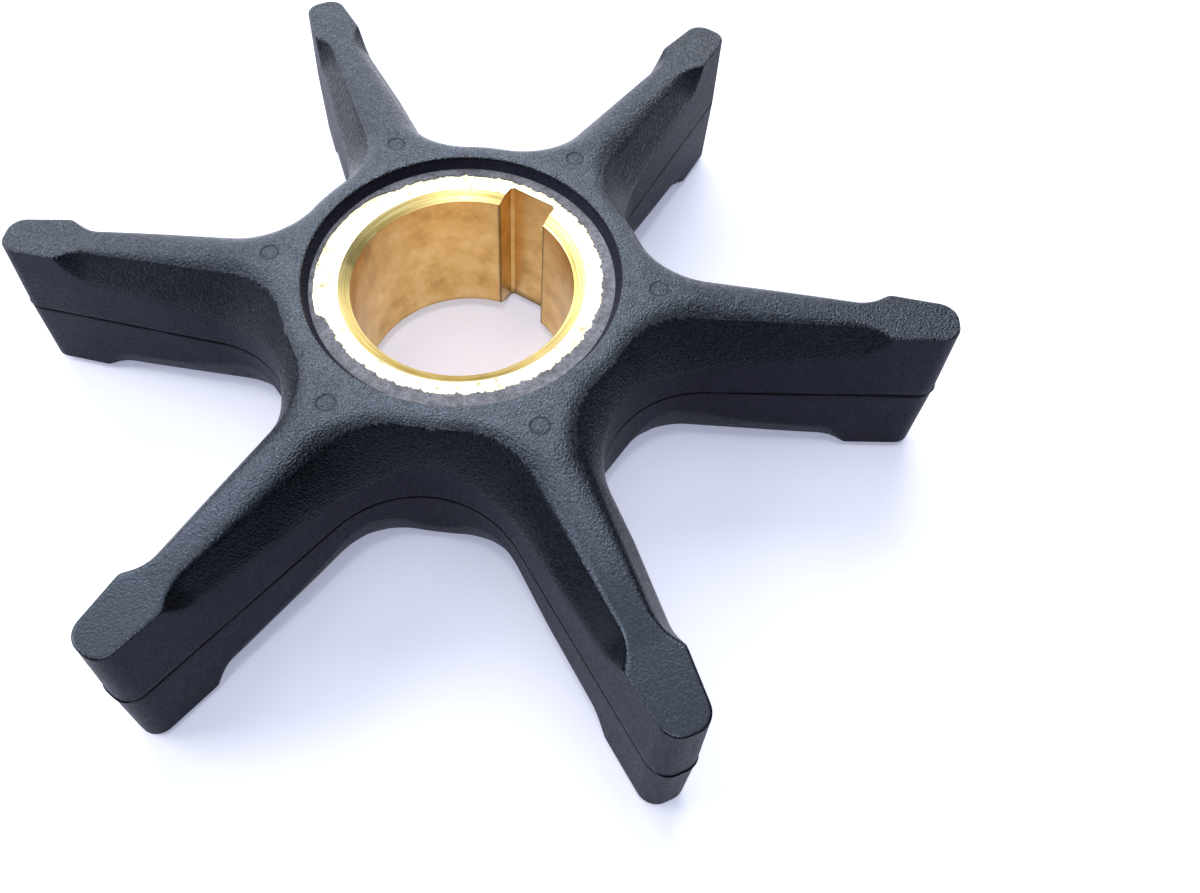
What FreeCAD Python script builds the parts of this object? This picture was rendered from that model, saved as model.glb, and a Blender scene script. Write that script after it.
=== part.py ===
import FreeCAD, Part
import math
import os

# Flexible pump impeller: a one-piece moulded rubber body with six blades,
# bonded round a brass bushing that has a keyway in its bore.
# Millimetres. The bore runs along Z, the rest plane is z = 0 and the first blade points along +Y.
# The keyway opens towards that blade, a few degrees past its axis.

# Overall sizes
blade_count = 6
first_blade = 90.0
tip_radius = 34.1
hub_height = 14.5

# Blade in plan, from the axis of the blade to its flank at the parting line
tip_half_width = 1.56
flank_taper_deg = 6.1
tip_round = 1.4
web_radius = 7.5
draft_deg = 1.0

# Ridge along the middle of each blade, and the slopes that fall from it to the flanks.
# The lower ridges are wider on each side, with steeper slopes.
ridge_half_width = 0.55
ridge_taper_deg = 3.6
ridge_round = 0.8
round_facets = 3
slope_from_axis_deg = 30.0
lower_ridge_extra = 0.5
lower_slope_from_axis_deg = 22.0
slope_margin = 0.4
hub_face_radius = 12.6
ridge_root_radius = 6.3

# Full-height pad at the tip of each blade
pad_length = 5.4
pad_flare_deg = 45.0
pad_neck_radius = 3.4
pad_round = 0.2
pad_drop = 0.67
ridge_fall_start = 15.5

# Brass bushing
bore_radius = 7.95
bushing_wall = 2.65
bore_chamfer = 0.8
bore_chamfer_depth = 0.45
keyway_width = 3.85
keyway_depth = 1.5
keyway_offset_deg = 4.0

# Seat of the bushing in the rubber
bond_clearance = 0.0
bushing_setback = 1.0
bushing_lower_setback = 0.8
recess_radius = 11.2
recess_draft = 0.35
recess_below_brass = 0.2
skin_thickness = 0.12
skin_lap = 0.65
skin_foot = 0.12

# Round marks left by the ejector pins, one on each blade root
pin_mark_radius = 0.6
pin_mark_circle = 13.8
pin_mark_line = 0.12
pin_mark_depth = 0.08

# Sizes that follow from the ones above
blade_step = 360.0 / blade_count
mid_height = hub_height / 2.0
pad_face = hub_height - pad_drop
pad_start = tip_radius - pad_length
bushing_radius = bore_radius + bushing_wall
bushing_top = hub_height - bushing_setback
bushing_bottom = bushing_lower_setback
bushing_length = bushing_top - bushing_bottom
flank_taper = math.radians(flank_taper_deg)
ridge_taper = math.radians(ridge_taper_deg)
half_step = math.radians(blade_step / 2.0)
draft_slope = math.tan(math.radians(draft_deg))


def point(radial, across, angle_deg=0.0, z=0.0):
    """A point given along and across a blade that lies at an angle."""
    angle = math.radians(angle_deg)
    x = radial * math.cos(angle) - across * math.sin(angle)
    y = radial * math.sin(angle) + across * math.cos(angle)
    return FreeCAD.Vector(x, y, z)


def tapered_line(start_radial, start_half_width, taper):
    """The side line of a blade: its outward normal and its distance from the centre."""
    normal = (math.sin(taper), math.cos(taper))
    distance = start_radial * normal[0] + start_half_width * normal[1]
    return normal, distance


def line_half_width(line, radial):
    """Half width of the blade where its side line passes a radius."""
    normal, distance = line
    return (distance - radial * normal[0]) / normal[1]


def meet(line_a, line_b):
    """Where two lines, each a normal and a distance, cross."""
    (ax, ay), a = line_a
    (bx, by), b = line_b
    det = ax * by - ay * bx
    return ((a * by - b * ay) / det, (ax * b - bx * a) / det)


def moved(line, outward):
    """The same line moved outward."""
    normal, distance = line
    return normal, distance + outward


flank_line = tapered_line(tip_radius, tip_half_width, flank_taper)
ridge_line = tapered_line(pad_start, ridge_half_width, ridge_taper)


def arc_edge(first, middle, last):
    return Part.Arc(first, middle, last).toShape()


def arc_middle(centre, radius, first, last):
    """The point half way along the short arc from first to last."""
    across = FreeCAD.Vector((first + last) * 0.5 - centre)
    across.z = 0.0
    across.normalize()
    middle = centre + across * radius
    middle.z = first.z
    return middle


def round_edge(centre, radius, first, last):
    """The short arc from first to last about a centre."""
    return arc_edge(first, arc_middle(centre, radius, first, last), last)


def web_centre():
    """Distance from the bore axis to the centre of the hollow between two blades."""
    normal, distance = flank_line
    reach = normal[0] * math.cos(half_step) + normal[1] * math.sin(half_step)
    return (distance + web_radius) / reach


def tip_centre():
    """Centre of the corner round at the tip, along and across the blade."""
    end_line = ((1.0, 0.0), tip_radius)
    return meet(moved(flank_line, -tip_round), moved(end_line, -tip_round))


def flank_wire(z, inset):
    """The outline of hub and blades at a height, set in by the draft."""
    edges = []
    along, across = flank_line[0]
    web_at = web_centre()
    web_r = web_radius + inset
    tip_r = tip_round - inset
    tip_at, tip_side = tip_centre()
    for blade in range(blade_count):
        angle = first_blade + blade * blade_step
        web = point(web_at, 0.0, angle - blade_step / 2.0, z)
        next_web = point(web_at, 0.0, angle + blade_step / 2.0, z)
        start = web - point(along * web_r, -across * web_r, angle)
        near = point(tip_at + along * tip_r, -tip_side - across * tip_r, angle, z)
        near_end = point(tip_at + tip_r, -tip_side, angle, z)
        far_end = point(tip_at + tip_r, tip_side, angle, z)
        far = point(tip_at + along * tip_r, tip_side + across * tip_r, angle, z)
        finish = next_web - point(along * web_r, across * web_r, angle)
        next_start = next_web - point(along * web_r, -across * web_r, angle + blade_step)
        edges.append(Part.makeLine(start, near))
        edges.append(round_edge(point(tip_at, -tip_side, angle, z), tip_r, near, near_end))
        edges.append(Part.makeLine(near_end, far_end))
        edges.append(round_edge(point(tip_at, tip_side, angle, z), tip_r, far_end, far))
        edges.append(Part.makeLine(far, finish))
        edges.append(round_edge(next_web, web_r, finish, next_start))
    return Part.Wire(edges)


def rounding_steps(turn_deg):
    """Points along a quarter or less of a round of radius one: distance run outward, distance down."""
    back = math.tan(math.radians(turn_deg / 2.0))
    angles = [math.radians(turn_deg * share / round_facets) for share in range(round_facets + 1)]
    return [(math.sin(angle) - back, 1.0 - math.cos(angle)) for angle in angles]


def flank_solid():
    """Hub and blades above the parting line, with draft and a rounded edge at the pad face."""
    draft = (pad_face - mid_height) * draft_slope
    wires = [flank_wire(mid_height, 0.0)]
    for outward, down in reversed(rounding_steps(90.0)):
        wires.append(flank_wire(pad_face - down * pad_round, draft - outward * pad_round))
    wires.append(flank_wire(hub_height, draft + pad_round))
    return Part.makeLoft(wires, True, True)


def ridge_root():
    """Centre of the round between the hub face and a ridge, along and across the blade."""
    normal, distance = ridge_line
    across = distance + ridge_root_radius
    along = math.sqrt((hub_face_radius + ridge_root_radius) ** 2 - across ** 2)
    return (across * normal[0] + along * normal[1], across * normal[1] - along * normal[0])


def ridge_wire(z, outward):
    """The outline of hub face, ridges and pads at a height, moved outward."""
    edges = []
    normal = ridge_line[0]
    root = ridge_root()
    root_r = ridge_root_radius - outward
    hub_share = (hub_face_radius + outward) / (hub_face_radius + ridge_root_radius)
    flare = math.radians(pad_flare_deg)
    flare_normal = (-math.sin(flare), math.cos(flare))
    flare_offset = pad_start * flare_normal[0] + ridge_half_width * flare_normal[1]
    flare_line = moved((flare_normal, flare_offset), outward)
    side_line = moved(((0.0, 1.0), tip_half_width + pad_length), outward)
    end_line = moved(((1.0, 0.0), tip_radius + pad_length), outward)
    neck_r = pad_neck_radius - outward
    neck = meet(moved(ridge_line, outward + neck_r), moved(flare_line, neck_r))
    neck_in = (neck[0] - normal[0] * neck_r, neck[1] - normal[1] * neck_r)
    neck_out = (neck[0] - flare_normal[0] * neck_r, neck[1] - flare_normal[1] * neck_r)
    shoulder = meet(flare_line, side_line)
    corner = meet(side_line, end_line)
    tangent = (root[0] - normal[0] * root_r, root[1] - normal[1] * root_r)
    hub_point = (root[0] * hub_share, root[1] * hub_share)
    profile = [tangent, neck_in, neck_out, shoulder, corner]
    for blade in range(blade_count):
        angle = first_blade + blade * blade_step
        next_angle = angle + blade_step
        near, near_neck, near_flare, near_side, near_end = [point(a, -b, angle, z) for a, b in profile]
        far, far_neck, far_flare, far_side, far_end = [point(a, b, angle, z) for a, b in profile]
        edges.append(Part.makeLine(near, near_neck))
        edges.append(round_edge(point(neck[0], -neck[1], angle, z), neck_r, near_neck, near_flare))
        pad = [near_flare, near_side, near_end, far_end, far_side, far_flare]
        edges += [Part.makeLine(first, last) for first, last in zip(pad[:-1], pad[1:])]
        edges.append(round_edge(point(neck[0], neck[1], angle, z), neck_r, far_flare, far_neck))
        edges.append(Part.makeLine(far_neck, far))
        hub_start = point(hub_point[0], hub_point[1], angle, z)
        hub_middle = point(hub_face_radius + outward, 0.0, angle + blade_step / 2.0, z)
        hub_end = point(hub_point[0], -hub_point[1], next_angle, z)
        next_near = point(tangent[0], -tangent[1], next_angle, z)
        edges.append(round_edge(point(root[0], root[1], angle, z), root_r, far, hub_start))
        edges.append(arc_edge(hub_start, hub_middle, hub_end))
        edges.append(round_edge(point(root[0], -root[1], next_angle, z), root_r, hub_end, next_near))
    return Part.Wire(edges)


def slope_reach():
    """How far the slopes run outward from the ridge before they have met every flank."""
    web_start = web_centre() * math.cos(half_step)
    return line_half_width(flank_line, web_start) - line_half_width(ridge_line, web_start) + slope_margin


def slope_cutter(ridge_extra, slope_deg):
    """What is taken away above the slopes of one half."""
    reach = slope_reach()
    depth = (reach - ridge_extra) / math.tan(math.radians(slope_deg))
    bottom = hub_height - depth
    wires = [ridge_wire(bottom, reach)]
    for outward, down in reversed(rounding_steps(90.0 - slope_deg)):
        wires.append(ridge_wire(hub_height - down * ridge_round, ridge_extra + outward * ridge_round))
    kept = Part.makeLoft(wires, True, True)
    block = Part.makeCylinder(2.0 * tip_radius, depth, FreeCAD.Vector(0, 0, bottom))
    return block.cut(kept)


def face_limit():
    """The hub face, the fall of the ridges and the pad faces, as one turned shape."""
    outer = 2.0 * tip_radius
    profile = [(0.0, 0.0), (0.0, hub_height), (ridge_fall_start, hub_height),
               (pad_start, pad_face), (outer, pad_face), (outer, 0.0), (0.0, 0.0)]
    wire = Part.makePolygon([FreeCAD.Vector(r, 0, z) for r, z in profile])
    return Part.Face(wire).revolve(FreeCAD.Vector(), FreeCAD.Vector(0, 0, 1), 360)


def half_body(ridge_extra, slope_deg):
    """The rubber on one side of the parting line, without its seat for the bushing."""
    half = flank_solid().cut(slope_cutter(ridge_extra, slope_deg))
    return half.common(face_limit())


def mirrored(shape):
    """The same shape below the parting line."""
    return shape.mirror(FreeCAD.Vector(0, 0, mid_height), FreeCAD.Vector(0, 0, 1))


def ring(inner, outer, bottom, height):
    start = FreeCAD.Vector(0, 0, bottom)
    disc = Part.makeCylinder(outer, height, start)
    return disc.cut(Part.makeCylinder(inner, height, start)) if inner > 0.0 else disc


def recess():
    """The round recess in the upper hub face, down to the foot of its drafted wall."""
    foot = recess_radius - recess_draft
    floor = bushing_top - recess_below_brass
    return Part.makeCone(foot, recess_radius, hub_height - floor, FreeCAD.Vector(0, 0, floor))


def lower_recess():
    """The recess in the lower hub face."""
    foot = recess_radius - recess_draft
    return Part.makeCone(recess_radius, foot, bushing_bottom + recess_below_brass)


def skin():
    """The thin rubber skin that laps over the edge of the upper brass face."""
    inner = bushing_radius - skin_lap
    outer = bushing_radius + skin_foot
    bottom = bushing_top - recess_below_brass
    lap = ring(inner, outer, bottom, recess_below_brass + skin_thickness)
    return lap.cut(ring(0.0, bushing_radius + bond_clearance, bottom, recess_below_brass))


def pin_marks():
    marks = []
    for blade in range(blade_count):
        centre = point(pin_mark_circle, 0.0, first_blade + blade * blade_step, hub_height - pin_mark_depth)
        line = Part.makeCylinder(pin_mark_radius, pin_mark_depth, centre)
        marks.append(line.cut(Part.makeCylinder(pin_mark_radius - pin_mark_line, pin_mark_depth, centre)))
    return marks


def rubber_body():
    upper = half_body(0.0, slope_from_axis_deg)
    lower = mirrored(half_body(lower_ridge_extra, lower_slope_from_axis_deg))
    body = upper.fuse(lower).removeSplitter()
    through = Part.makeCylinder(bushing_radius + bond_clearance, hub_height)
    body = body.cut(through.fuse([recess(), lower_recess()]))
    body = body.fuse(skin())
    body = body.cut(pin_marks()[0].fuse(pin_marks()[1:]))
    return body


def bore_cutter():
    """The bore with a chamfer at each end."""
    bottom = FreeCAD.Vector(0, 0, bushing_bottom)
    wide = bore_radius + bore_chamfer
    cutter = Part.makeCylinder(bore_radius, bushing_length, bottom)
    low = Part.makeCone(wide, bore_radius, bore_chamfer_depth, bottom)
    high_start = FreeCAD.Vector(0, 0, bushing_top - bore_chamfer_depth)
    high = Part.makeCone(bore_radius, wide, bore_chamfer_depth, high_start)
    return cutter.fuse([low, high])


def keyway_cutter():
    """The slot for the key, from the middle of the bore to its flat floor."""
    floor = bore_radius + keyway_depth
    corner = FreeCAD.Vector(-keyway_width / 2.0, 0, bushing_bottom)
    slot = Part.makeBox(keyway_width, floor, bushing_length, corner)
    slot.rotate(FreeCAD.Vector(), FreeCAD.Vector(0, 0, 1), keyway_offset_deg)
    return slot


def brass_bushing():
    sleeve = Part.makeCylinder(bushing_radius, bushing_length, FreeCAD.Vector(0, 0, bushing_bottom))
    return sleeve.cut(bore_cutter().fuse(keyway_cutter()))


def write(name, shape):
    shape.exportStep("parts/" + name + ".step")
    box = shape.BoundBox
    print(name, shape.isValid(), len(shape.Solids), round(shape.Volume, 2), round(box.XLength, 3),
          round(box.YLength, 3), round(box.ZLength, 3), round(box.ZMin, 3))


os.makedirs("parts", exist_ok=True)
write("rubber_body", rubber_body())
write("brass_bushing", brass_bushing())
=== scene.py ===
import bpy
import math
import numpy as np
from mathutils import Matrix, Vector


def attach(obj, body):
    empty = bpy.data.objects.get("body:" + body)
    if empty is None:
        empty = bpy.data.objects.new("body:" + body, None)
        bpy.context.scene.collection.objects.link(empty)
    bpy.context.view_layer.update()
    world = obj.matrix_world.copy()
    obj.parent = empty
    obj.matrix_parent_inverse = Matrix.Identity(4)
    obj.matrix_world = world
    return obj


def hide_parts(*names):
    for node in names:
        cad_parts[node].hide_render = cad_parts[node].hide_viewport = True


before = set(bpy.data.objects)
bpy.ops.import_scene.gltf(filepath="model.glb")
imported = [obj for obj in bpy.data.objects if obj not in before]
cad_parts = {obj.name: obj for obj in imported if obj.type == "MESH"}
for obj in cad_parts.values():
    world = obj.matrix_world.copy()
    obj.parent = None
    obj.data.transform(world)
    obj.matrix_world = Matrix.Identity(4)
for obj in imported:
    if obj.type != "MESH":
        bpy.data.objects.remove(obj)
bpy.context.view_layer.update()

MM = 0.001

# Sizes of the impeller in millimetres, as in the part's source
blade_count = 6
blade_step_deg = 360.0 / blade_count
first_blade_deg = 90.0
tip_radius = 34.1
hub_height = 14.5
mid_height = hub_height / 2.0
tip_half_width = 1.56
flank_taper = math.radians(6.1)
tip_round = 1.4
web_radius = 7.5
draft = math.tan(math.radians(1.0))
half_step = math.radians(blade_step_deg / 2.0)
ridge_half_width = 0.55
ridge_taper = math.radians(3.6)
upper_slope_deg = 30.0
lower_slope_deg = 22.0
lower_ridge_extra = 0.5
hub_face_radius = 12.6
ridge_root_radius = 6.3
pad_length = 5.4
pad_start = tip_radius - pad_length
pad_flare = math.radians(45.0)
pad_neck_radius = 3.4
pad_drop = 0.67
ridge_fall_start = 15.5
bore_radius = 7.95
bushing_radius = 10.6
bushing_top = 13.5
bushing_bottom = 0.8
chamfer_width = 0.8
chamfer_depth = 0.45
recess_radius = 11.2
recess_foot = 10.85
keyway_half = 1.925
keyway_floor = 9.45
keyway_deg = 94.0
pin_distance = 13.8
pin_radius = 0.60


# Plain helpers

def waves(t, counts, seed):
    """A smooth periodic noise of an angle: a few sine waves with random phases."""
    local = np.random.default_rng(seed)
    out = np.zeros_like(t)
    for count in counts:
        out += np.sin(count * t + local.uniform(0.0, 2.0 * math.pi)) / math.sqrt(len(counts))
    return out


def fade(value, start, finish):
    """Nought at the start, one at the finish, straight between them."""
    return np.clip((value - start) / (finish - start), 0.0, 1.0)


def soft_step(value, middle, width):
    """A smooth step from nought to one, or from one to nought where the width is negative."""
    return 1.0 / (1.0 + np.exp(-(value - middle) / width))


def smooth_min(a, b, k):
    h = np.clip(0.5 + 0.5 * (b - a) / k, 0.0, 1.0)
    return b + (a - b) * h - k * h * (1.0 - h)


def arc_points(cx, cy, radius, start, end, count):
    turn = np.linspace(start, end, count)
    return np.stack([cx + radius * np.cos(turn), cy + radius * np.sin(turn)], 1)


def spaced(start, end, count):
    return np.linspace(start, end, count + 1)[:-1]


def on_axis(x):
    return np.stack([x, np.zeros_like(x)], 1)


# Plan outlines of one half of a blade: the blade lies along x, the middle of the hollow at +30 degrees

flank_normal = np.array([math.sin(flank_taper), math.cos(flank_taper)])
flank_distance = tip_radius * flank_normal[0] + tip_half_width * flank_normal[1]
web_reach = flank_normal[0] * math.cos(half_step) + flank_normal[1] * math.sin(half_step)
web_at = (flank_distance + web_radius) / web_reach
web_x, web_y = web_at * math.cos(half_step), web_at * math.sin(half_step)
round_x = tip_radius - tip_round
round_y = (flank_distance - tip_round - round_x * flank_normal[0]) / flank_normal[1]
web_low = math.pi + half_step
web_high = 1.5 * math.pi - flank_taper
flank_up = 0.5 * math.pi - flank_taper
flank_start = web_x + web_radius * math.cos(web_high)
flank_finish = round_x + tip_round * math.cos(flank_up)


def ridge_outline():
    """Hub face, root round, ridge line, neck round, flare and pad side, as one polyline."""
    normal = np.array([math.sin(ridge_taper), math.cos(ridge_taper)])
    distance = pad_start * normal[0] + ridge_half_width * normal[1]
    across = distance + ridge_root_radius
    along = math.sqrt((hub_face_radius + ridge_root_radius) ** 2 - across ** 2)
    root = np.array([across * normal[0] + along * normal[1], across * normal[1] - along * normal[0]])
    to_hub = math.atan2(-root[1], -root[0]) % (2.0 * math.pi)
    to_ridge = 1.5 * math.pi - ridge_taper
    flare_normal = np.array([-math.sin(pad_flare), math.cos(pad_flare)])
    flare_distance = pad_start * flare_normal[0] + ridge_half_width * flare_normal[1]
    rows = np.array([normal, flare_normal])
    neck = np.linalg.solve(rows, [distance + pad_neck_radius, flare_distance + pad_neck_radius])
    hub = arc_points(0, 0, hub_face_radius, half_step, math.atan2(root[1], root[0]), 60)
    foot = arc_points(root[0], root[1], ridge_root_radius, to_hub, to_ridge, 120)
    throat = arc_points(neck[0], neck[1], pad_neck_radius, to_ridge, 1.5 * math.pi + pad_flare, 60)
    # The flare and the pad's side run on past the tip, so that the whole pad is inside
    top = tip_half_width + pad_length
    shoulder = [(top - flare_distance / flare_normal[1]) * -flare_normal[1] / flare_normal[0], top]
    return np.concatenate([hub, foot, throat, [shoulder, [tip_radius + pad_length, top]]])


def flank_outline():
    web = arc_points(web_x, web_y, web_radius, web_low, web_high, 160)
    tip = arc_points(round_x, round_y, tip_round, flank_up, 0.0, 60)
    return np.concatenate([web, tip, [[tip_radius, 0.0]]])


def line_distance(points, line):
    """Signed distance to a polyline: positive on its left side."""
    a = line[:-1]
    run = line[1:] - a
    length = np.maximum((run ** 2).sum(1), 1e-12)
    best = np.zeros(len(points))
    side = np.zeros(len(points))
    batch = 4000
    for start in range(0, len(points), batch):
        some = slice(start, start + batch)
        p = points[some, None, :]
        t = np.clip(((p - a) * run).sum(2) / length, 0.0, 1.0)
        gap = p - (a + t[..., None] * run)
        far = (gap ** 2).sum(2)
        pick = far.argmin(1)
        rows = np.arange(len(pick))
        near = gap[rows, pick]
        best[some] = np.sqrt(far[rows, pick])
        side[some] = np.sign(run[pick, 0] * near[:, 1] - run[pick, 1] * near[:, 0])
    return best * side


ridge_line = ridge_outline()
flank_line = flank_outline()

# Roundings of the upper face. The crest of a blade is rounder than the hub's shoulder and the pad's edge.
# Each pair of distances from the bore axis says where a rounding fades in or out.
crown_share, crown_least, crown_most = 1.25, 1.3, 2.8
hub_crown, hub_crown_fades = 1.6, (13.0, 17.5)
face_blend = 0.16
crest_blend, crest_starts, crest_ends = 0.30, (16.0, 20.0), (28.4, 27.2)
rim_round, web_round_extra, web_round_fades = 0.32, 0.9, (22.0, 18.0)
recess_round = 0.18


def rounded_edge(gap, radius):
    """How far a rounded edge falls at a distance in from the edge."""
    inside = np.clip(radius - gap, 0.0, radius)
    return radius - np.sqrt(np.maximum(radius ** 2 - inside ** 2, 0.0))


def slope_drop(distance, slope_deg, radius):
    """How far a slope has fallen at a distance out from the ridge line, with a round crown."""
    turn = math.radians(90.0 - slope_deg)
    x = distance + radius * math.tan(turn / 2.0)
    reach = radius * math.sin(turn)
    arc = radius - np.sqrt(np.maximum(radius ** 2 - np.clip(x, 0.0, reach) ** 2, 0.0))
    return arc + np.maximum(x - reach, 0.0) / math.tan(math.radians(slope_deg))


def half_height(xy, lower):
    """Height over the rest plane of the upper half, or the same for the lower half turned over."""
    r = np.hypot(xy[:, 0], xy[:, 1])
    from_ridge = line_distance(xy, ridge_line) - (lower_ridge_extra if lower else 0.0)
    from_rim = -line_distance(xy, flank_line)
    half_width = ridge_half_width + np.maximum(pad_start - xy[:, 0], 0.0) * math.tan(ridge_taper)
    crown = crown_share * half_width / math.tan(math.radians(upper_slope_deg))
    crown = hub_crown + (np.clip(crown, crown_least, crown_most) - hub_crown) * fade(r, *hub_crown_fades)
    slope = hub_height - slope_drop(from_ridge, lower_slope_deg if lower else upper_slope_deg, crown)
    face = hub_height - pad_drop * fade(r, ridge_fall_start, pad_start)
    crest = fade(r, *crest_starts) * fade(r, *crest_ends)
    z = smooth_min(face, slope, face_blend + crest_blend * crest)
    rim = rim_round + web_round_extra * fade(r, *web_round_fades)
    return z - rounded_edge(from_rim, rim) - rounded_edge(r - recess_radius, recess_round)


# Columns run from the recess circle and the blade's axis to the outline. These are their numbers, the places on
# the blade's axis where their inner ends change pace, and the rows along them.
circle_columns, web_columns, tip_columns = 40, 20, 11
flank_parts = ((0.0, 0.55, 19), (0.55, 0.86, 19), (0.86, 1.0, 6))
axis_web, axis_flank, axis_tip, axis_end = 17.5, 32.4, 32.7, 32.75
web_split = web_low + math.radians(25.0)
first_shares = [0.0, 0.012, 0.03, 0.055]
middle_start, middle_end, upper_middles, lower_middles = 0.09, 0.86, 22, 9
last_shares = [0.89, 0.92, 0.945, 0.965, 0.98, 0.992, 1.0]
flank_shares = [0.10, 0.35, 0.65, 0.92]
# Height over the parting line and share of the parting groove's depth, or of the fin's width at the tip
groove_rows = ((0.12, 0.0), (0.08, 0.12), (0.035, 0.85), (0.0, 1.0))
groove_depth, fin_width, fin_start, fin_fade = 0.075, 0.09, round_x + 0.9, 0.12


def column_ends():
    """Both ends of each column: on the recess circle or the axis, and on the outline."""
    turn = spaced(half_step, 0.0, circle_columns)
    inner = [np.stack([recess_radius * np.cos(turn), recess_radius * np.sin(turn)], 1)]
    outer = [arc_points(web_x, web_y, web_radius, web_low, web_split, circle_columns + 1)[:-1]]
    inner.append(on_axis(spaced(recess_radius, axis_web, web_columns)))
    outer.append(arc_points(web_x, web_y, web_radius, web_split, web_high, web_columns + 1)[:-1])
    shares = np.concatenate([spaced(*part) for part in flank_parts])
    x = flank_start + (flank_finish - flank_start) * shares
    inner.append(on_axis(axis_web + (axis_flank - axis_web) * shares))
    outer.append(np.stack([x, (flank_distance - x * flank_normal[0]) / flank_normal[1]], 1))
    inner.append(on_axis(np.linspace(axis_flank, axis_tip, tip_columns)))
    outer.append(arc_points(round_x, round_y, tip_round, flank_up, 0.0, tip_columns))
    inner.append(np.array([[axis_end, 0.0]]))
    outer.append(np.array([[tip_radius, 0.0]]))
    return np.concatenate(inner), np.concatenate(outer)


def outline_normals(outer):
    """Outward normals of the outline at the columns' ends."""
    normals = []
    for x, y in outer:
        if x > flank_finish - 1e-6:
            away = np.array([x - round_x, y - round_y]) if y > round_y - 1e-9 else np.array([1.0, 0.0])
        elif x < flank_start + 1e-6:
            away = np.array([web_x - x, web_y - y])
        else:
            away = flank_normal
        normals.append(away / np.linalg.norm(away))
    return np.array(normals)


def half_grid(lower):
    """Rows of points from the inner line over the top and down the flank to the parting line."""
    inner, outer = column_ends()
    normals = outline_normals(outer)

    def out_by(length):
        return outer + normals * length[:, None]

    rim_height = half_height(outer - normals * 0.01, lower) - 0.05
    rim = out_by(-draft * (rim_height - mid_height))
    middles = np.linspace(middle_start, middle_end, lower_middles if lower else upper_middles)
    rows = []
    for share in np.concatenate([first_shares, middles, last_shares]):
        xy = inner + (rim - inner) * share
        rows.append(np.column_stack([xy, half_height(xy, lower)]))
    last = rows[-1][:, 2]
    for share in flank_shares:
        z = last + (mid_height + groove_rows[0][0] - last) * share
        rows.append(np.column_stack([out_by(-draft * (z - mid_height)), z]))
    # A fine uneven groove where the two mould halves met, which turns into a thin fin at the tip
    at_tip = soft_step(outer[:, 0], fin_start, fin_fade)
    run = np.concatenate([[0.0], np.cumsum(np.hypot(*np.diff(outer, axis=0).T))])
    depth = groove_depth + 0.02 * np.sin(run * 1.9) + 0.012 * np.sin(run * 5.3 + 1.0)
    proud = fin_width * at_tip - depth * (1.0 - at_tip)
    for lift, share in groove_rows:
        rows.append(np.column_stack([out_by(proud * share), np.full(len(outer), mid_height + lift)]))
    return np.array(rows)


def turned(points, degrees):
    a = math.radians(degrees)
    out = points.copy()
    out[..., 0] = points[..., 0] * math.cos(a) - points[..., 1] * math.sin(a)
    out[..., 1] = points[..., 0] * math.sin(a) + points[..., 1] * math.cos(a)
    return out


def grid_faces(rows, columns, start, flip):
    index = start + np.arange(rows * columns).reshape(rows, columns)
    corners = (index[:-1, :-1], index[1:, :-1], index[1:, 1:], index[:-1, 1:])
    quads = np.stack([corner.ravel() for corner in corners], 1)
    return quads[:, ::-1] if flip else quads


class Shape:
    """Collects points in millimetres and faces, then makes one welded, smooth mesh."""

    weld = 0.0004

    def __init__(self):
        self.points = []
        self.faces = []
        self.slots = []
        self.total = 0

    def grid(self, rows, flip, slots=None):
        self.faces.append(grid_faces(rows.shape[0], rows.shape[1], self.total, flip))
        per_row = np.zeros(rows.shape[0] - 1, int) if slots is None else slots
        self.slots.append(np.repeat(per_row, rows.shape[1] - 1))
        self.points.append(rows.reshape(-1, 3))
        self.total += rows.shape[0] * rows.shape[1]

    def make(self, name, crease_deg):
        points = np.concatenate(self.points)
        keys = np.round(points / self.weld).astype(np.int64)
        _, first, back = np.unique(keys, axis=0, return_index=True, return_inverse=True)
        faces = back.reshape(-1)[np.concatenate(self.faces)]
        points = points[first] * MM
        clean = []
        slots = []
        for face, slot in zip(faces.tolist(), np.concatenate(self.slots).tolist()):
            ring = [v for i, v in enumerate(face) if v != face[i - 1]]
            if len(set(ring)) == len(ring) and len(ring) > 2:
                clean.append(ring)
                slots.append(slot)
        mesh = bpy.data.meshes.new(name)
        mesh.from_pydata(points.tolist(), [], clean)
        mesh.polygons.foreach_set("material_index", slots)
        mesh.validate()
        mesh.shade_smooth()
        mesh.set_sharp_from_angle(angle=math.radians(crease_deg))
        mesh.update()
        return add_object(name, mesh)


def add_object(name, data):
    obj = bpy.data.objects.new(name, data)
    bpy.context.scene.collection.objects.link(obj)
    return obj


# Marks and skin: depths and widths in millimetres, angles in degrees round the bore axis
pin_depth, pin_groove_width, pin_disc_edge = 0.03, 0.12, 0.06
skin_radius, skin_offset, skin_offset_deg = 9.95, 0.22, 130.0
skin_lift, skin_left_width = 0.10, 0.10
broken_start_deg, broken_end_deg = 164.0, 236.0


def pin_mark_drop(xy):
    """The round witness line of an ejector pin on each blade root: a fine groove with the disc a little low."""
    r = np.hypot(xy[:, 0] - pin_distance, xy[:, 1])
    groove = pin_depth * np.exp(-((r - pin_radius) / pin_groove_width) ** 2)
    disc = pin_depth * soft_step(r, pin_radius, -pin_disc_edge)
    return groove + disc


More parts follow.
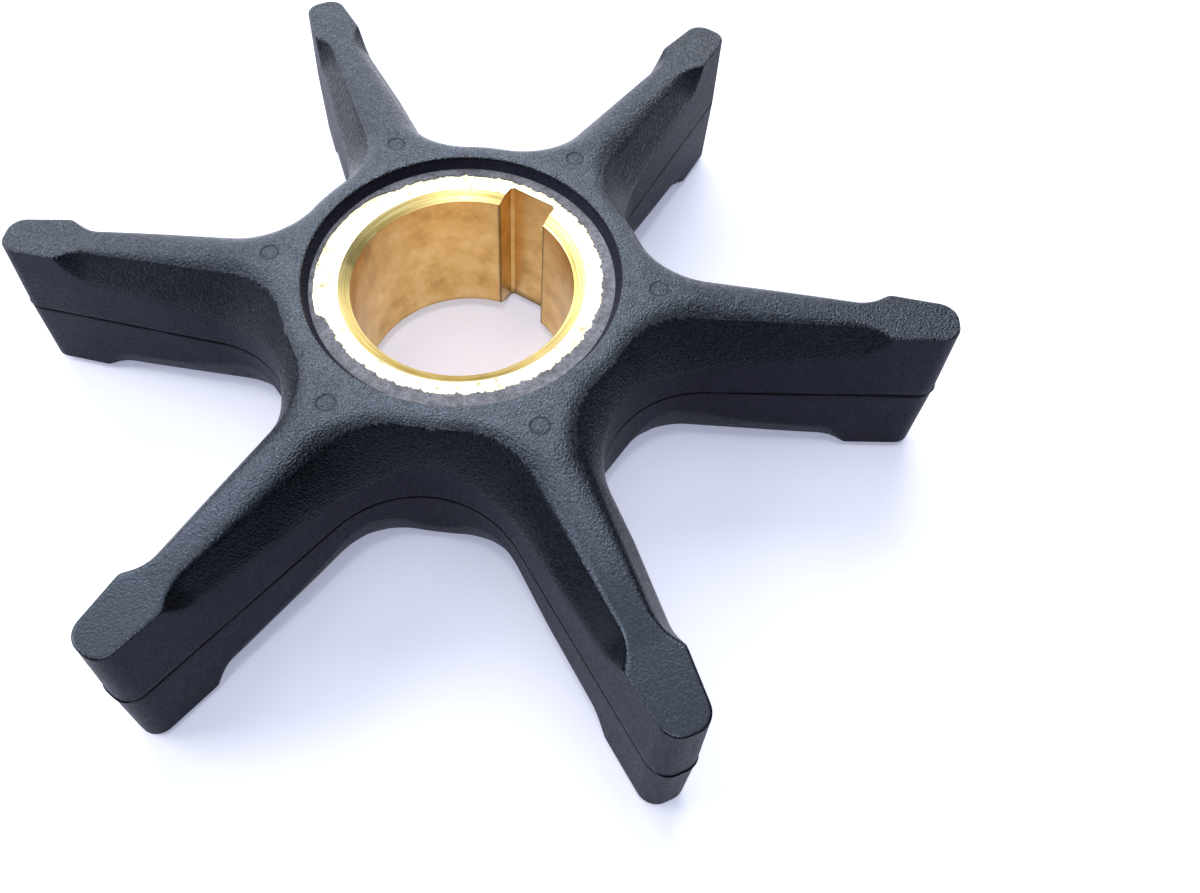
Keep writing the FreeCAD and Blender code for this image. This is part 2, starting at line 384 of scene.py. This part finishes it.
def skin_edge(theta):
    """Inner radius of the rubber skin on the brass face; it is broken away along one stretch."""
    even = skin_radius + skin_offset * np.cos(theta - math.radians(skin_offset_deg))
    ragged = 0.07 * waves(theta, [17, 29, 41, 53, 71], 3) + 0.06 * waves(theta, [97, 127, 163, 199, 223], 4)
    deg = np.degrees(theta) % 360.0
    broken = soft_step(deg, broken_start_deg, 1.6) * soft_step(deg, broken_end_deg, -0.7)
    left = bushing_radius - skin_left_width + 0.03 * waves(theta, [23, 47, 89], 5)
    return (even + ragged) * (1.0 - broken) + left * broken


# Slots of the rubber's materials, in the order of their looks below
GRAINED, SMOOTH, DUSTY, SHADED_SLOPE = range(4)
slope_normal_z = 0.70
rubber_crease_deg, brass_crease_deg = 38.0, 24.0


def blade_grids(shape):
    """Both halves of all blades and of the hub's face between them."""
    for lower in (False, True):
        grid = half_grid(lower)
        top_rows = grid.shape[0] - len(flank_shares) - len(groove_rows)
        slots = np.where(np.arange(grid.shape[0] - 1) >= top_rows - 1, SMOOTH, GRAINED)
        if not lower:
            flat = grid[:top_rows].reshape(-1, 3)
            flat[:, 2] -= pin_mark_drop(flat[:, :2])
        for mirror in (False, True):
            half = grid.copy()
            if mirror:
                half[..., 1] *= -1.0
            if lower:
                half[..., 2] = hub_height - half[..., 2]
            for blade in range(blade_count):
                shape.grid(turned(half, first_blade_deg + blade_step_deg * blade), mirror == lower, slots)


def recess_grid(shape):
    """Recess, skin, bond face and the lower recess, turned round the bore axis."""
    inner, _ = column_ends()
    circle = inner[:circle_columns + 1]
    base = np.arctan2(circle[:, 1], circle[:, 0])
    turn = np.unique(np.round(np.concatenate([base, -base]), 9))[:-1]
    blades = [math.radians(first_blade_deg + blade_step_deg * blade) for blade in range(blade_count)]
    theta = np.sort(np.concatenate([turn + blade for blade in blades]) % (2.0 * math.pi))
    theta = np.concatenate([theta, [theta[0] + 2.0 * math.pi]])
    edge = skin_edge(theta)
    lift = skin_lift + 0.02 * waves(theta, [31, 57, 83], 9)
    top_z, low_half = (half_height(np.array([[recess_radius, 0.0]]), lower)[0] for lower in (False, True))
    skin_start = recess_foot - 0.12
    bond_radius = bushing_radius + 0.02
    # Distances from the axis and heights: down the wall, over the skin, under it and down the bond face
    wall_rows = 4
    profile = [(recess_radius, top_z), (recess_radius - 0.03, hub_height - 0.32),
               (0.5 * (recess_foot + recess_radius), hub_height - 0.6), (recess_foot, bushing_top + 0.2),
               (recess_foot - 0.05, bushing_top + 0.11), (skin_start, bushing_top + lift * 0.9)]
    for share in (0.3, 0.6, 0.85):
        profile.append((skin_start - (skin_start - edge) * share, bushing_top + lift * (1.0 - 0.25 * share)))
    profile += [(edge + 0.015, bushing_top + lift * 0.55), (edge, bushing_top + 0.02),
                (edge + 0.01, bushing_top - 0.01), (bond_radius, bushing_top - 0.02),
                (bond_radius, bushing_bottom + 0.2), (recess_foot, bushing_bottom + 0.2),
                (recess_radius, hub_height - low_half)]
    one = np.ones_like(theta)
    rows = np.array([np.column_stack([r * np.cos(theta), r * np.sin(theta), z * one]) for r, z in profile])
    shape.grid(rows, True, np.where(np.arange(len(profile) - 1) < wall_rows, SMOOTH, DUSTY))


def rubber_shape():
    shape = Shape()
    blade_grids(shape)
    recess_grid(shape)
    made = shape.make("rubber_moulding", rubber_crease_deg)
    # The slopes get a copy of the grained rubber with less gloss, a painted shade that keeps them dark, and the
    # lower ones are as smooth as the flanks
    for face in made.data.polygons:
        x, y, z = face.center
        if face.material_index == GRAINED and math.hypot(x, y) > (recess_radius + 0.01) * MM:
            if 0.3 * MM < z < mid_height * MM:
                face.material_index = SMOOTH
            elif abs(face.normal.z) < slope_normal_z:
                face.material_index = SHADED_SLOPE
    return made


def bushing_shape():
    """The brass sleeve: faces, chamfers, bore and keyway from one polar outline."""
    key = math.radians(keyway_deg)
    corner_ease = 0.22
    floor_corner = math.atan2(keyway_half - corner_ease, keyway_floor)
    side_corner = math.atan2(keyway_half, keyway_floor - corner_ease)
    wide = bore_radius + chamfer_width
    # Angles from the keyway's middle, with one at each corner of it on each ring of the chamfer
    special = [math.asin(keyway_half / r) for r in np.linspace(bore_radius, wide, 7)]
    special += [floor_corner, side_corner, floor_corner * 0.97, 0.5 * (floor_corner + side_corner)]
    special += list(np.linspace(0.0, floor_corner * 0.85, 8))
    others = np.linspace(0.27, 2.0 * math.pi - 0.27, 300)
    offsets = np.unique(np.round(np.concatenate([special, [-a for a in special], others]), 6))
    theta = np.sort((offsets + key) % (2.0 * math.pi))
    theta = np.concatenate([theta, [theta[0] + 2.0 * math.pi]])
    away = np.abs((theta - key + math.pi) % (2.0 * math.pi) - math.pi)
    eased = (keyway_floor + keyway_half - corner_ease) / (np.cos(away) + np.sin(away))
    side = keyway_half / np.maximum(np.sin(away), 1e-6)
    slot = np.where(away < side_corner, eased, side)
    slot = np.where(away < floor_corner + 1e-7, keyway_floor / np.cos(away), slot)
    slot = np.where(away < math.radians(20.0), slot, 0.0)

    def ring(radius, z, bored=True):
        r = np.maximum(radius, slot) if bored else radius * np.ones_like(theta)
        return np.column_stack([r * np.cos(theta), r * np.sin(theta), np.full_like(theta, z)])

    def between(start, finish, shares):
        return [start + (finish - start) * share for share in shares]

    outer = bushing_radius
    edge = 0.06
    top_edge, top_wide = ring(outer - edge, bushing_top, False), ring(wide, bushing_top)
    low_edge, low_wide = ring(outer - edge, bushing_bottom, False), ring(wide, bushing_bottom)
    steps = np.linspace(0.0, 1.0, 7)
    bore_top, bore_bottom = bushing_top - chamfer_depth, bushing_bottom + chamfer_depth
    rows = [ring(outer, bushing_bottom + edge, False), ring(outer, 0.5 * (bushing_bottom + bushing_top), False),
            ring(outer, bushing_top - edge, False), top_edge]
    rows += between(top_edge, top_wide, (0.25, 0.5, 0.75))
    rows += [ring(wide - chamfer_width * share, bushing_top - chamfer_depth * share) for share in steps]
    rows += [ring(bore_radius, z) for z in np.linspace(bore_top, bore_bottom, 14)[1:-1]]
    rows += [ring(wide - chamfer_width * share, bushing_bottom + chamfer_depth * share) for share in steps[::-1]]
    rows += between(low_wide, low_edge, (0.3, 0.65))
    rows += [low_edge, ring(outer, bushing_bottom + edge, False)]
    shape = Shape()
    shape.grid(np.array(rows), True)
    return shape.make("bushing_brass", brass_crease_deg)


# Helpers for materials

def new_material(name):
    mat = bpy.data.materials.new(name)
    mat.use_nodes = True
    tree = mat.node_tree
    tree.nodes.clear()
    out = tree.nodes.new("ShaderNodeOutputMaterial")
    shader = tree.nodes.new("ShaderNodeBsdfPrincipled")
    tree.links.new(shader.outputs["BSDF"], out.inputs["Surface"])
    return mat, tree, shader


def object_coord(tree):
    return tree.nodes.new("ShaderNodeTexCoord").outputs["Object"]


def separated(tree, vector):
    made = tree.nodes.new("ShaderNodeSeparateXYZ")
    tree.links.new(vector, made.inputs[0])
    return made.outputs["X"], made.outputs["Y"], made.outputs["Z"]


def noise(tree, coord, scale, detail=3.0, rough=0.5):
    made = tree.nodes.new("ShaderNodeTexNoise")
    made.inputs["Scale"].default_value = scale
    made.inputs["Detail"].default_value = detail
    made.inputs["Roughness"].default_value = rough
    tree.links.new(coord, made.inputs["Vector"])
    return made.outputs["Fac"]


def ramp(tree, value, stops):
    made = tree.nodes.new("ShaderNodeValToRGB")
    while len(made.color_ramp.elements) < len(stops):
        made.color_ramp.elements.new(0.5)
    for element, (pos, color) in zip(made.color_ramp.elements, stops):
        element.position = pos
        element.color = tuple(color) + (1.0,)
    tree.links.new(value, made.inputs["Fac"])
    return made.outputs["Color"]


def grey(value):
    return (value, value, value)


def maths(tree, operation, a, b=None):
    made = tree.nodes.new("ShaderNodeMath")
    made.operation = operation
    for socket, value in zip(made.inputs, (a, b)):
        if isinstance(value, (int, float)):
            socket.default_value = value
        elif value is not None:
            tree.links.new(value, socket)
    return made.outputs[0]


def length_of(tree, x, y):
    squares = [maths(tree, "MULTIPLY", value, value) for value in (x, y)]
    return maths(tree, "SQRT", maths(tree, "ADD", *squares))


def weighted(tree, x, by_x, y, by_y):
    """The sum of two values, each times a number."""
    return maths(tree, "ADD", maths(tree, "MULTIPLY", x, by_x), maths(tree, "MULTIPLY", y, by_y))


def mix_color(tree, factor, a, b, mode="MIX"):
    made = tree.nodes.new("ShaderNodeMix")
    made.data_type = "RGBA"
    made.blend_type = mode
    for name, value in (("Factor", factor), ("A", a), ("B", b)):
        socket = [s for s in made.inputs if s.name == name and s.enabled][0]
        if isinstance(value, (int, float)):
            socket.default_value = value
        elif isinstance(value, tuple):
            socket.default_value = value + (1.0,)
        else:
            tree.links.new(value, socket)
    return [s for s in made.outputs if s.name == "Result" and s.enabled][0]


def map_range(tree, value, low, high, to_low=0.0, to_high=1.0):
    made = tree.nodes.new("ShaderNodeMapRange")
    made.clamp = True
    tree.links.new(value, made.inputs["Value"])
    made.inputs["From Min"].default_value = low
    made.inputs["From Max"].default_value = high
    made.inputs["To Min"].default_value = to_low
    made.inputs["To Max"].default_value = to_high
    return made.outputs["Result"]


def bumped(tree, shader, height, distance, strength=1.0):
    bump = tree.nodes.new("ShaderNodeBump")
    bump.inputs["Strength"].default_value = strength
    bump.inputs["Distance"].default_value = distance
    tree.links.new(height, bump.inputs["Height"])
    tree.links.new(bump.outputs["Normal"], shader.inputs["Normal"])


# Rubber. Directions in the plan: north is away from the camera, east to its right.
north = Vector((-0.601, 0.799, 0.0))
east = Vector((0.789, 0.614, 0.0)).normalized()

# The rubber's own colour is near black; the blue cast of these bases and the cool tints of its gloss are painted,
# standing in for the cool colour of the light
upper_base = [(0.30, (0.0042, 0.0047, 0.0070)), (0.70, (0.0068, 0.0074, 0.0106))]
upper_speck = [(0.34, grey(0.4)), (0.52, grey(1.0)), (0.70, grey(2.4))]
rubber_looks = {
    "grained": {"base": upper_base, "speck": upper_speck, "rough": (0.14, 0.42), "specular": 0.72,
                "painted_cool_tint": (0.63, 0.76, 1.0), "depth": 0.00010},
    "smooth": {"base": [(0.30, (0.0180, 0.0186, 0.0330)), (0.70, (0.0260, 0.0268, 0.0460))],
               "speck": [(0.36, grey(0.7)), (0.52, grey(1.0)), (0.70, grey(1.4))],
               "rough": (0.46, 0.56), "specular": 0.07, "painted_cool_tint": (0.60, 0.63, 1.0), "depth": 0.00003},
    "dusty": {"base": [(0.35, (0.130, 0.131, 0.145)), (0.65, (0.215, 0.218, 0.242))],
              "speck": [(0.32, grey(0.62)), (0.50, grey(1.0)), (0.70, grey(1.35))],
              "rough": (0.60, 0.75), "specular": 0.25, "painted_cool_tint": (0.85, 0.86, 1.0), "depth": 0.00008},
    # A copy of the grained rubber with less gloss, for the slopes: painted shade
    "slope": {"base": upper_base, "speck": upper_speck, "rough": (0.20, 0.40), "specular": 0.22,
              "painted_cool_tint": (0.60, 0.72, 1.0), "depth": 0.00012},
}
bloom_color = (0.058, 0.066, 0.078)
# Colour of the painted shade in the parting groove
parting_shade_color = (0.0006, 0.0006, 0.0010)


def pin_circles(tree, coord):
    """One on the fine circle that each ejector pin left, a third on its disc, nought elsewhere."""
    x, y, _ = separated(tree, coord)
    step = math.radians(blade_step_deg)
    shift = 4.0 * math.pi - math.radians(first_blade_deg) + 0.5 * step
    turn = maths(tree, "ADD", maths(tree, "ARCTAN2", y, x), shift)
    folded = maths(tree, "SUBTRACT", maths(tree, "MODULO", turn, step), 0.5 * step)
    radius = length_of(tree, x, y)
    along = maths(tree, "MULTIPLY", radius, maths(tree, "COSINE", folded))
    along = maths(tree, "SUBTRACT", along, pin_distance * MM)
    across = maths(tree, "MULTIPLY", radius, maths(tree, "SINE", folded))
    away = length_of(tree, along, across)
    off = maths(tree, "ABSOLUTE", maths(tree, "SUBTRACT", away, pin_radius * MM))
    ring = map_range(tree, off, 0.00003, 0.00011, 1.0, 0.0)
    disc = map_range(tree, away, 0.00056, 0.00062, 0.35, 0.0)
    return maths(tree, "MAXIMUM", ring, disc)


def pale_bloom(tree, coord, color):
    """A pale bloom round the recess."""
    x, y, _ = separated(tree, coord)
    reach = map_range(tree, length_of(tree, x, y), 0.0118, 0.0165, 1.0, 0.0)
    patches = map_range(tree, noise(tree, coord, 900.0, 3.0, 0.6), 0.30, 0.70, 0.35, 1.0)
    return mix_color(tree, maths(tree, "MULTIPLY", reach, patches), color, bloom_color)


def parting_groove_shade(tree, coord, color):
    """Painted shade in the groove of the parting line: dark, thin and uneven."""
    _, _, z = separated(tree, coord)
    waver = maths(tree, "MULTIPLY", maths(tree, "ADD", noise(tree, coord, 240.0, 3.0), -0.5), 0.00030)
    height = maths(tree, "ADD", z, -mid_height * MM)
    gap = maths(tree, "ABSOLUTE", maths(tree, "ADD", height, waver))
    wide = map_range(tree, noise(tree, coord, 260.0, 2.0), 0.35, 0.65, 0.00008, 0.00025)
    line = maths(tree, "GREATER_THAN", maths(tree, "SUBTRACT", wide, gap), 0.0)
    return mix_color(tree, maths(tree, "MULTIPLY", line, 0.92), color, parting_shade_color)


def rubber_material(kind):
    """Black rubber: grained on the upper faces, smoother on the flanks, dusty where it laps over the brass."""
    look = rubber_looks[kind]
    mat, tree, shader = new_material("rubber_" + kind)
    coord = object_coord(tree)
    fine = noise(tree, coord, 5200.0, 2.0, 0.6)
    if kind == "dusty":
        patches, specks = noise(tree, coord, 700.0, 2.0, 0.6), noise(tree, coord, 3400.0, 3.0, 0.7)
    else:
        patches, specks = noise(tree, coord, 160.0, 2.0, 0.55), fine
    color = mix_color(tree, 1.0, ramp(tree, patches, look["base"]), ramp(tree, specks, look["speck"]), "MULTIPLY")
    if kind == "grained":
        color = pale_bloom(tree, coord, color)
    # The flanks get a painted shade line in the parting groove
    if kind == "smooth":
        color = parting_groove_shade(tree, coord, color)
    tree.links.new(color, shader.inputs["Base Color"])
    low, high = look["rough"]
    middle = (low + high) / 2.0
    rough = map_range(tree, noise(tree, coord, 3600.0, 2.0), 0.38, 0.62, low - middle, high - middle)
    grain = maths(tree, "ADD", noise(tree, coord, 7600.0, 1.0, 0.5), maths(tree, "MULTIPLY", fine, 0.5))
    if kind in ("grained", "slope"):
        # The grain is crisp round the hub and on the far blades, and rubbed down on the two near ones
        x, y, _ = separated(tree, coord)
        near = weighted(tree, x, -north.x, y, -north.y)
        pins = pin_circles(tree, coord)
        rough = maths(tree, "MULTIPLY", rough, map_range(tree, near, 0.014, 0.026, 1.0, 0.15))
        grain = maths(tree, "MULTIPLY", grain, map_range(tree, near, 0.009, 0.024, 1.3, 0.20))
        grain = maths(tree, "SUBTRACT", grain, maths(tree, "MULTIPLY", pins, 0.60))
    rough = maths(tree, "ADD", rough, middle)
    if kind == "grained":
        rough = maths(tree, "ADD", rough, maths(tree, "MULTIPLY", pins, 0.45))
    tree.links.new(rough, shader.inputs["Roughness"])
    shader.inputs["Specular IOR Level"].default_value = look["specular"]
    # A cool tint of the gloss, painted in for the cool colour of the light
    shader.inputs["Specular Tint"].default_value = look["painted_cool_tint"] + (1.0,)
    bumped(tree, shader, grain, look["depth"])
    return mat


# Brass: dark, middle and light tones of the bore, the worn face and the chamfers
bore_tones = [(0.27, (0.48, 0.27, 0.080)), (0.48, (0.69, 0.435, 0.145)), (0.75, (0.85, 0.62, 0.29))]
face_tones = [(0.27, (0.30, 0.25, 0.15)), (0.38, (0.66, 0.60, 0.44)), (0.70, (0.74, 0.69, 0.53))]
chamfer_tones = [(0.30, (0.40, 0.29, 0.08)), (0.48, (0.70, 0.55, 0.20)), (0.70, (0.86, 0.76, 0.40))]


def bore_painted_shade(tree, x, y, z):
    """Painted shade in the bore: a painted shadow at its foot and painted shadow lines along the two lips of the
    keyway; it is also darker at the keyway's top edge.
    """
    key = math.radians(keyway_deg)
    along = weighted(tree, x, math.cos(key), y, math.sin(key))
    across = weighted(tree, x, -math.sin(key), y, math.cos(key))
    lip_x = maths(tree, "SUBTRACT", along, math.sqrt(bore_radius ** 2 - keyway_half ** 2) * MM)
    lip_y = maths(tree, "SUBTRACT", maths(tree, "ABSOLUTE", across), keyway_half * MM)
    # Painted shadow lines along the keyway's lips, then a painted shadow at the bore's foot and a darker keyway
    # top edge
    lip_shadow = map_range(tree, length_of(tree, lip_x, lip_y), 0.00004, 0.00022, 0.30, 1.0)
    shade = maths(tree, "MULTIPLY", lip_shadow, map_range(tree, z, 0.0009, 0.0016, 0.30, 1.0))
    shade = maths(tree, "MULTIPLY", shade, map_range(tree, z, 0.01334, 0.01347, 1.0, 0.35))
    made = tree.nodes.new("ShaderNodeCombineXYZ")
    for axis in "XYZ":
        tree.links.new(shade, made.inputs[axis])
    return made.outputs[0]


def brass_material():
    mat, tree, shader = new_material("brass_turned")
    coord = object_coord(tree)
    x, y, z = separated(tree, coord)
    _, _, normal_z = separated(tree, tree.nodes.new("ShaderNodeNewGeometry").outputs["Normal"])
    up = maths(tree, "ABSOLUTE", normal_z)
    face = map_range(tree, up, 0.93, 0.99)
    chamfer = maths(tree, "MULTIPLY", map_range(tree, up, 0.35, 0.6), maths(tree, "SUBTRACT", 1.0, face))
    # Turning marks run round the axis
    rings = tree.nodes.new("ShaderNodeCombineXYZ")
    tree.links.new(maths(tree, "MULTIPLY", length_of(tree, x, y), 9000.0), rings.inputs["X"])
    tree.links.new(maths(tree, "MULTIPLY", maths(tree, "ARCTAN2", y, x), 1.2), rings.inputs["Y"])
    tree.links.new(maths(tree, "MULTIPLY", z, 4000.0), rings.inputs["Z"])
    marks = noise(tree, rings.outputs[0], 1.0, 3.0, 0.6)
    mottle = noise(tree, coord, 420.0, 4.0, 0.6)
    specks = noise(tree, coord, 2100.0, 3.0, 0.65)
    # The bore's tones times painted shade: a painted shadow at its foot and along the keyway's lips
    color = mix_color(tree, 1.0, ramp(tree, mottle, bore_tones), bore_painted_shade(tree, x, y, z), "MULTIPLY")
    color = mix_color(tree, chamfer, color, ramp(tree, marks, chamfer_tones))
    color = mix_color(tree, face, color, ramp(tree, specks, face_tones))
    tree.links.new(color, shader.inputs["Base Color"])
    shader.inputs["Metallic"].default_value = 1.0
    satin = map_range(tree, mottle, 0.3, 0.7, 0.28, 0.40)
    tree.links.new(maths(tree, "ADD", satin, maths(tree, "MULTIPLY", face, 0.27)), shader.inputs["Roughness"])
    bumped(tree, shader, maths(tree, "ADD", marks, maths(tree, "MULTIPLY", specks, 0.6)), 0.00002, 0.35)
    return mat


# The two pieces

rubber = rubber_shape()
for kind in rubber_looks:
    rubber.data.materials.append(rubber_material(kind))
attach(rubber, "root")
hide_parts("rubber_body")

brass = bushing_shape()
brass.data.materials.append(brass_material())
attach(brass, "root")
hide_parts("brass_bushing")


# Floor, light and camera

def seen_directly(tree):
    """One for what the camera sees itself or in a gloss, nought for what lights the object."""
    path = tree.nodes.new("ShaderNodeLightPath")
    first = maths(tree, "MAXIMUM", path.outputs["Is Camera Ray"], path.outputs["Is Glossy Ray"])
    return maths(tree, "MAXIMUM", first, path.outputs["Is Transmission Ray"])


def floor_material():
    """White paper that glows a little to the eye, more so farther out, and keeps the shadow."""
    mat, tree, shader = new_material("floor_paper")
    coord = object_coord(tree)
    tone = ramp(tree, noise(tree, coord, 6.0, 2.0), [(0.3, (0.86, 0.86, 0.90)), (0.7, (0.90, 0.90, 0.93))])
    tree.links.new(tone, shader.inputs["Base Color"])
    shader.inputs["Roughness"].default_value = 0.9
    shader.inputs["Specular IOR Level"].default_value = 0.1
    shader.inputs["Emission Color"].default_value = (0.71, 0.76, 1.0, 1.0)
    x, y, _ = separated(tree, coord)
    glow = map_range(tree, length_of(tree, x, y), 0.15, 0.40, 0.45, 1.3)
    tree.links.new(maths(tree, "MULTIPLY", seen_directly(tree), glow), shader.inputs["Emission Strength"])
    return mat


def add_floor():
    half = 3.0
    mesh = bpy.data.meshes.new("floor")
    corners = [(-half, -half, 0), (half, -half, 0), (half, half, 0), (-half, half, 0)]
    mesh.from_pydata(corners, [], [(0, 1, 2, 3)])
    floor = add_object("floor", mesh)
    floor.data.materials.append(floor_material())


def area_light(name, to_north, to_east, height, distance, size_x, size_y, power, color):
    """A lamp at a distance from the origin, in a direction given by the plan's north and east and the height."""
    data = bpy.data.lights.new(name, "AREA")
    data.shape = "RECTANGLE"
    data.size = size_x
    data.size_y = size_y
    data.energy = power
    data.color = color
    lamp = add_object(name, data)
    direction = (north * to_north + east * to_east + Vector((0, 0, height))).normalized()
    lamp.location = direction * distance
    lamp.rotation_euler = direction.to_track_quat("Z", "Y").to_euler()
    return lamp


def dark_screen():
    """A dark studio screen round the near side, so that the gloss there stays low."""
    radius, foot, height, open_left, open_right, count = 0.42, 0.002, 0.60, 64.0, 38.0, 48
    start = math.degrees(math.atan2(north.y, north.x)) + open_left
    turn = np.radians(np.linspace(start, start + 360.0 - open_left - open_right, count))
    points = [(radius * math.cos(a), radius * math.sin(a), z) for z in (foot, height) for a in turn]
    faces = [(i, i + 1, i + count + 1, i + count) for i in range(count - 1)]
    mesh = bpy.data.meshes.new("dark_screen")
    mesh.from_pydata(points, [], faces)
    screen = add_object("dark_screen", mesh)
    mat, tree, shader = new_material("dark_cloth")
    tone = ramp(tree, noise(tree, object_coord(tree), 30.0), [(0.3, grey(0.020)), (0.7, grey(0.030))])
    tree.links.new(tone, shader.inputs["Base Color"])
    shader.inputs["Roughness"].default_value = 1.0
    screen.data.materials.append(mat)
    screen.visible_camera = False


def background(tree, color, strength):
    made = tree.nodes.new("ShaderNodeBackground")
    made.inputs["Color"].default_value = color + (1.0,)
    made.inputs["Strength"].default_value = strength
    return made.outputs[0]


def add_world():
    """A cool fill for the object, and plain white where the camera sees past the floor."""
    world = bpy.data.worlds.new("studio")
    bpy.context.scene.world = world
    world.use_nodes = True
    tree = world.node_tree
    tree.nodes.clear()
    out = tree.nodes.new("ShaderNodeOutputWorld")
    blend = tree.nodes.new("ShaderNodeMixShader")
    tree.links.new(seen_directly(tree), blend.inputs["Fac"])
    tree.links.new(background(tree, (0.62, 0.70, 1.0), 0.48), blend.inputs[1])
    tree.links.new(background(tree, (1.0, 1.0, 1.0), 1.0), blend.inputs[2])
    tree.links.new(blend.outputs[0], out.inputs["Surface"])


def add_camera():
    """The photograph's own camera: its place, direction, lens and shift."""
    data = bpy.data.cameras.new("camera")
    data.sensor_width = 36.0
    data.lens = 33.306
    data.shift_x = 0.0915
    data.shift_y = -0.1221
    data.clip_start = 0.005
    data.clip_end = 20.0
    camera = add_object("camera", data)
    right = Vector((0.789216, 0.613788, -0.020065))
    up = Vector((-0.471888, 0.627020, 0.619813))
    back = Vector((0.393015, -0.479698, 0.784493))
    place = Matrix((right, up, back)).transposed().to_4x4()
    place.translation = Vector((0.033096, -0.037286, 0.074022))
    camera.matrix_world = place
    bpy.context.scene.camera = camera


add_floor()
area_light("window", 0.74, -0.10, 0.70, 0.60, 0.62, 0.40, 4.0, (0.97, 0.99, 1.0))
area_light("side", 0.08, -0.85, 0.60, 0.38, 0.22, 0.24, 0.85, (0.97, 0.98, 1.0))
overhead = area_light("ceiling", -0.0120, 0.0158, 1.0, 0.60, 0.36, 0.36, 0.6, (0.97, 0.98, 1.0))
overhead.visible_glossy = False
area_light("kicker", -0.24, -0.04, 0.97, 0.50, 0.05, 0.05, 0.34, (1.0, 0.98, 0.95))
dark_screen()
add_world()
add_camera()

bpy.context.scene.view_settings.view_transform = "Standard"
